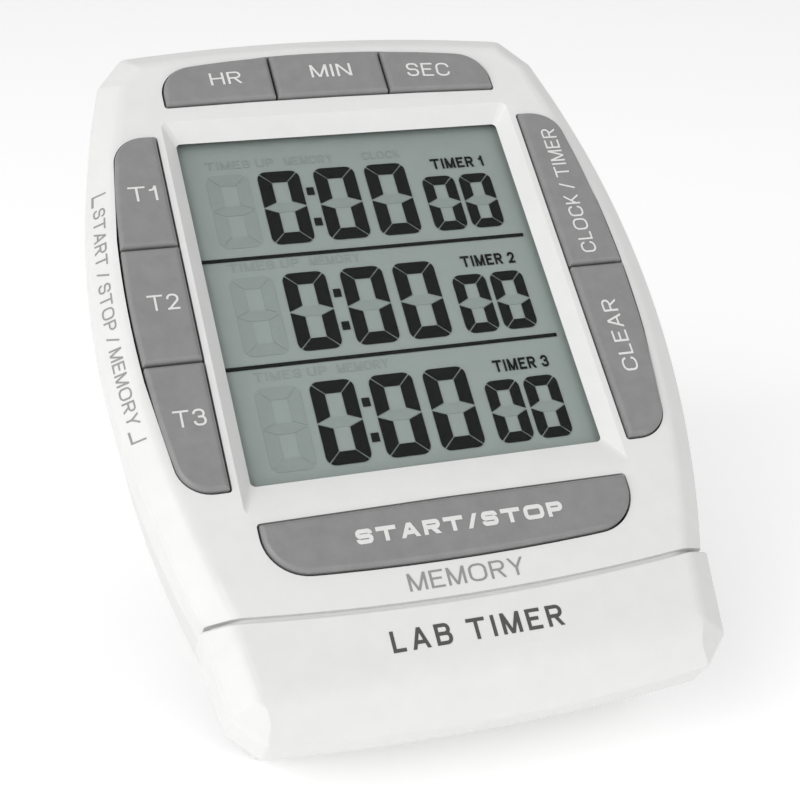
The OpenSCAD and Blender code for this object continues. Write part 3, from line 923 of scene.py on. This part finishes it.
def make_segments():
    lit, faint = [], []
    for row in range(ROWS):
        y = ROW_TOP - ROW_STEP * row
        for x in BIG_X:
            lit += digit_zero(x, y, *BIG)
        for x in SMALL_X:
            lit += digit_zero(x, y - SMALL_DROP, *SMALL)
        for low, high in ((3.9, 2.75), (8.5, 7.35)):
            lit.append(box_ring(*COLON, y - low, y - high, 0.05, 2))
        faint += digit_zero(GHOST_X, y, *BIG)
        for x in (GHOST_X, *BIG_X):
            faint.append(middle_bar(x, y, *BIG))
        for x in SMALL_X:
            faint.append(middle_bar(x, y - SMALL_DROP, *SMALL))
    for y in RULE_Y:
        lit.append(box_ring(*RULE_X, y - RULE_HALF, y + RULE_HALF, 0.05, 2))
    lit, faint = [[[on_lcd(*q) for q in bar] for bar in bars] for bars in (lit, faint)]
    digits = plates("lcd_digits", lit, LCD_FACE)
    ghosts = plates("lcd_ghosts", faint, GHOST_Z, 0.02)
    settle(digits, "casing", SEGMENT, "display")
    settle(ghosts, "casing", GHOST, "display")


make_panel()
make_segments()


# ---------------------------------------------------------------------------
# Printing
# ---------------------------------------------------------------------------

# Plain capitals and figures on a box one high. A stroke is a path of (across, up,
# corner radius), or a slant between two (across, up) whose ends are cut level.
GLYPHS = {
    "A": (0.78, [("slant", (0, 0), (0.5, 1)), ("slant", (1, 0), (0.5, 1)),
                 ("path", [(0.2, 0.28, 0), (0.8, 0.28, 0)])]),
    "B": (0.70, [("path", [(0, 0, 0), (0, 1, 0)]),
                 ("path", [(0, 1, 0), (0.93, 1, 0.22), (0.93, 0.53, 0.22), (0, 0.53, 0)]),
                 ("path", [(0, 0.53, 0), (1, 0.53, 0.24), (1, 0, 0.24), (0, 0, 0)])]),
    "C": (0.76, [("path", [(1, 0.7, 0), (1, 1, 0.29), (0, 1, 0.31), (0, 0, 0.31), (1, 0, 0.29),
                           (1, 0.3, 0)])]),
    "E": (0.64, [("path", [(1, 1, 0), (0, 1, 0), (0, 0, 0), (1, 0, 0)]),
                 ("path", [(0, 0.53, 0), (0.93, 0.53, 0)])]),
    "H": (0.72, [("path", [(0, 0, 0), (0, 1, 0)]), ("path", [(1, 0, 0), (1, 1, 0)]),
                 ("path", [(0, 0.53, 0), (1, 0.53, 0)])]),
    "I": (0.0, [("path", [(0, 0, 0), (0, 1, 0)])]),
    "K": (0.70, [("path", [(0, 0, 0), (0, 1, 0)]), ("slant", (0.0, 0.3), (0.95, 1)),
                 ("slant", (0.33, 0.58), (1, 0))]),
    "L": (0.56, [("path", [(0, 1, 0), (0, 0, 0), (1, 0, 0)])]),
    "M": (0.84, [("path", [(0, 0, 0), (0, 1, 0)]), ("path", [(1, 0, 0), (1, 1, 0)]),
                 ("slant", (0, 1), (0.5, 0)), ("slant", (1, 1), (0.5, 0))]),
    "N": (0.73, [("path", [(0, 0, 0), (0, 1, 0)]), ("path", [(1, 0, 0), (1, 1, 0)]),
                 ("slant", (0, 1), (1, 0))]),
    "O": (0.84, [("loop", [(0, 0, 0.33), (1, 0, 0.33), (1, 1, 0.33), (0, 1, 0.33)])]),
    "P": (0.66, [("path", [(0, 0, 0), (0, 1, 0)]),
                 ("path", [(0, 1, 0), (1, 1, 0.26), (1, 0.45, 0.26), (0, 0.45, 0)])]),
    "R": (0.70, [("path", [(0, 0, 0), (0, 1, 0)]),
                 ("path", [(0, 1, 0), (1, 1, 0.24), (1, 0.48, 0.24), (0, 0.48, 0)]),
                 ("slant", (0.5, 0.48), (1, 0))]),
    "S": (0.67, [("path", [(1, 0.73, 0), (1, 1, 0.24), (0, 1, 0.24), (0, 0.52, 0.22),
                           (1, 0.52, 0.22), (1, 0, 0.24), (0, 0, 0.24), (0, 0.27, 0)])]),
    "T": (0.8, [("path", [(0, 1, 0), (1, 1, 0)]), ("path", [(0.5, 0, 0), (0.5, 1, 0)])]),
    "U": (0.72, [("path", [(0, 1, 0), (0, 0, 0.31), (1, 0, 0.31), (1, 1, 0)])]),
    "Y": (0.76, [("slant", (0, 1), (0.5, 0.42)), ("slant", (1, 1), (0.5, 0.42)),
                 ("path", [(0.5, 0, 0), (0.5, 0.45, 0)])]),
    "1": (0.36, [("path", [(1, 0, 0), (1, 1, 0)]),
                 ("path", [(0, 0.74, 0), (0.6, 0.78, 0.12), (0.95, 1, 0)])]),
    "2": (0.62, [("path", [(0, 0.7, 0), (0, 1, 0.26), (1, 1, 0.26), (1, 0.6, 0.2), (0.08, 0, 0)]),
                 ("path", [(0, 0, 0), (1, 0, 0)])]),
    "3": (0.64, [("path", [(0, 0.74, 0), (0, 1, 0.24), (0.95, 1, 0.24), (0.95, 0.53, 0.2),
                           (0.35, 0.53, 0)]),
                 ("path", [(0.35, 0.53, 0), (1, 0.53, 0.22), (1, 0, 0.24), (0, 0, 0.24),
                           (0, 0.27, 0)])]),
    "/": (0.46, [("slant", (0, 0), (1, 1))]),
    " ": (0.12, []),
}


def ribbon(points, weight, closed):
    """The left and right edges of a stroke that follows the points."""
    edges = []
    n = len(points)
    for i, p in enumerate(points):
        ahead = points[(i + 1) % n] if closed or i < n - 1 else None
        behind = points[i - 1] if closed or i > 0 else None
        here = Vector(p)
        a = (here - Vector(behind)).normalized() if behind else None
        b = (Vector(ahead) - here).normalized() if ahead else None
        a, b = a or b, b or a
        across = Vector((-(a + b).y, (a + b).x)).normalized()
        reach = weight / 2 / max(across.dot(Vector((-a.y, a.x))), 0.35)
        edges.append((here + across * reach, here - across * reach))
    return edges


def add_stroke(bm, edges, closed, z0, z1):
    rows = [[bm.verts.new(q) for q in (
        (l.x, l.y, z0), (r.x, r.y, z0), (r.x, r.y, z1), (l.x, l.y, z1))] for l, r in edges]
    pairs = list(zip(rows, rows[1:])) + ([(rows[-1], rows[0])] if closed else [])
    for low, high in pairs:
        for i in range(4):
            j = (i + 1) % 4
            bm.faces.new((low[i], high[i], high[j], low[j]))
    if not closed:
        bm.faces.new(rows[0])
        bm.faces.new(list(reversed(rows[-1])))


def capped(points, path, weight):
    """Carries the ends of an open stroke out to the edge of the letter's box."""
    path = list(path)
    for end, inner in ((0, 1), (-1, -2)):
        u, v, r = path[end]
        out = (Vector((u, v)) - Vector(path[inner][:2])).normalized() * weight / 2
        level = abs(out.x) > abs(out.y) * 2 and points[end][0] in (0, 1)
        upright = abs(out.y) > abs(out.x) * 2 and points[end][1] in (0, 1)
        if level or upright:
            path[end] = (u + out.x, v + out.y, r)
    return path


def add_glyph(bm, letter, x, wide, weight):
    """One letter, one high, with its left edge at x. Returns its right edge."""
    width, strokes = GLYPHS[letter]
    width = max(width * wide, weight)
    inner = width - weight
    for step, (kind, *points) in enumerate(strokes):
        top = 1 + 0.15 * step
        if kind == "slant":
            (u0, v0), (u1, v1) = sorted(points, key=lambda q: q[1])
            level = weight * math.hypot(1, (u1 - u0) * inner / (v1 - v0)) * 0.96
            reach = width - level
            ends = [(x + u * reach, v) for u, v in ((u0, v0), (u1, v1))]
            edges = [(Vector(e), Vector((e[0] + level, e[1]))) for e in ends]
            add_stroke(bm, edges, False, 0, top)
            continue
        closed = kind == "loop"
        path = [(x + weight / 2 + u * inner, weight / 2 + v * (1 - weight), r)
                for u, v, r in points[0]]
        most = 0.48 * min(inner, 1 - weight) if closed else 1
        path = [(u, v, min(r * (1 - weight), most)) for u, v, r in path]
        if not closed:
            path = capped(points[0], path, weight)
        add_stroke(bm, ribbon(rounded(path, 6, closed), weight, closed), closed, 0, top)
    return x + width


def lettering(name, words, width, height, weight=0.115, wide=1.0, gap=0.17, thick=0.03):
    """Words as a thin mesh, width by height, with the middle of their box at the origin."""
    bm = bmesh.new()
    x = 0.0
    for letter in words:
        x = add_glyph(bm, letter, x, wide, weight) + gap
    bmesh.ops.recalc_face_normals(bm, faces=bm.faces)
    total = x - gap
    for v in bm.verts:
        v.co = ((v.co.x / total - 0.5) * width, (v.co.y - 0.5) * height, v.co.z * thick)
    return from_bmesh(name, bm)


def bend(obj, place):
    for v in obj.data.vertices:
        v.co = place(v.co.x, v.co.y, v.co.z)
    return obj


def print_flat(name, words, at, size, z, body, material, slot, turn=0.0, **style):
    obj = lettering(name, words, *size, **style)
    c, s = math.cos(math.radians(turn)), math.sin(math.radians(turn))
    bend(obj, lambda u, v, w: (at[0] + u * c - v * s, at[1] + u * s + v * c, z + w))
    settle(obj, body, material, slot)
    return obj


PRINT_LIFT = 0.012
KEY_LABELS = (
    ("hr_key", "HR", (-13.5, 31.7), (4.0, 1.9), 2),
    ("min_key", "MIN", (0.3, 32.1), (5.4, 2.0), 0),
    ("sec_key", "SEC", (13.3, 31.4), (5.8, 2.15), -3),
    ("t1_key", "T1", (-26.65, 15.0), (3.4, 2.1), 0),
    ("t2_key", "T2", (-26.85, -0.25), (3.6, 2.1), 0),
    ("t3_key", "T3", (-26.55, -15.4), (3.6, 2.1), 0),
    ("clock_key", "CLOCK / TIMER", (26.8, 10.85), (19.3, 1.95), 90),
    ("clear_key", "CLEAR", (26.8, -10.9), (10.1, 1.95), 90),
)
for key_name, words, at, size, turn in KEY_LABELS:
    print_flat(key_name + "_label", words, at, size, KEY_TOP + PRINT_LIFT, key_name, KEY_PRINT,
               "key_plastic", turn)
print_flat("start_label", "START/STOP", (0.6, -32.15), (24.2, 1.75), KEY_TOP + PRINT_LIFT,
           "start_key", KEY_PRINT, "key_plastic", weight=0.29, wide=1.75, gap=0.27)
print_flat("memory_label", "MEMORY", (-0.2, -37.95), (13.4, 2.05), FACE_Z + PRINT_LIFT,
           "casing", SIDE_PRINT, "casing_plastic")
print_flat("name_label", "LAB TIMER", (-0.6, -44.2), (19.5, 2.4), FACE_Z + PRINT_LIFT,
           "casing", DARK_PRINT, "casing_plastic", weight=0.17, wide=1.1, gap=0.3)
for row in range(ROWS):
    print_flat("timer_%d_label" % (row + 1), "TIMER %d" % (row + 1),
               on_lcd(14.2, 17.9 - ROW_STEP * row), (7.1, 1.6), LCD_FACE, "casing", SEGMENT,
               "display", weight=0.19, wide=1.05, gap=0.18)

# Unlit words of each timer row: the words, the middle of their box and its width.
# Only the first row has the last one.
FAINT_WORDS = (("TIMES UP", -13.75, 8.7), ("MEMORY", -5.0, 6.3), ("CLOCK", 4.5, 5.0))
for row in range(ROWS):
    for words, x, width in FAINT_WORDS[:3 if row == 0 else 2]:
        name = "ghost_%s_%d" % (words.split()[0].lower(), row + 1)
        print_flat(name, words, on_lcd(x, 20.0 - ROW_STEP * row), (width, 1.2), GHOST_Z,
                   "casing", GHOST, "display", weight=0.16, thick=0.02)


def on_border(u, v, w):
    """u runs down the left border from its middle, v across it towards the keys."""
    inset = 1.45 + v
    y = -0.1 - u
    slope = (FACE_Z - RIM_Z) / BORDER_W
    lean = math.hypot(1, slope)
    lift = 0.02 + w
    return (-side_x(y, inset) - lift * slope / lean, y, RIM_Z + inset * slope + lift / lean)


def make_border_print():
    words = lettering("border_label", "START / STOP / MEMORY", 29.0, 1.3)
    settle(bend(words, on_border), "casing", SIDE_PRINT, "casing_plastic")
    bm = bmesh.new()
    for s in (-1, 1):
        for (u0, v0), (u1, v1) in (((15.1, -0.85), (16.6, -0.62)), ((16.4, -0.85), (16.6, 0.75))):
            ring = [(s * u0, v0), (s * u1, v0), (s * u1, v1), (s * u0, v1)]
            if s < 0:
                ring.reverse()
            add_loft(bm, [raised(ring, -0.01), raised(ring, 0.02)])
    settle(bend(from_bmesh("border_brackets", bm), on_border), "casing", SIDE_PRINT,
           "casing_plastic")


make_border_print()
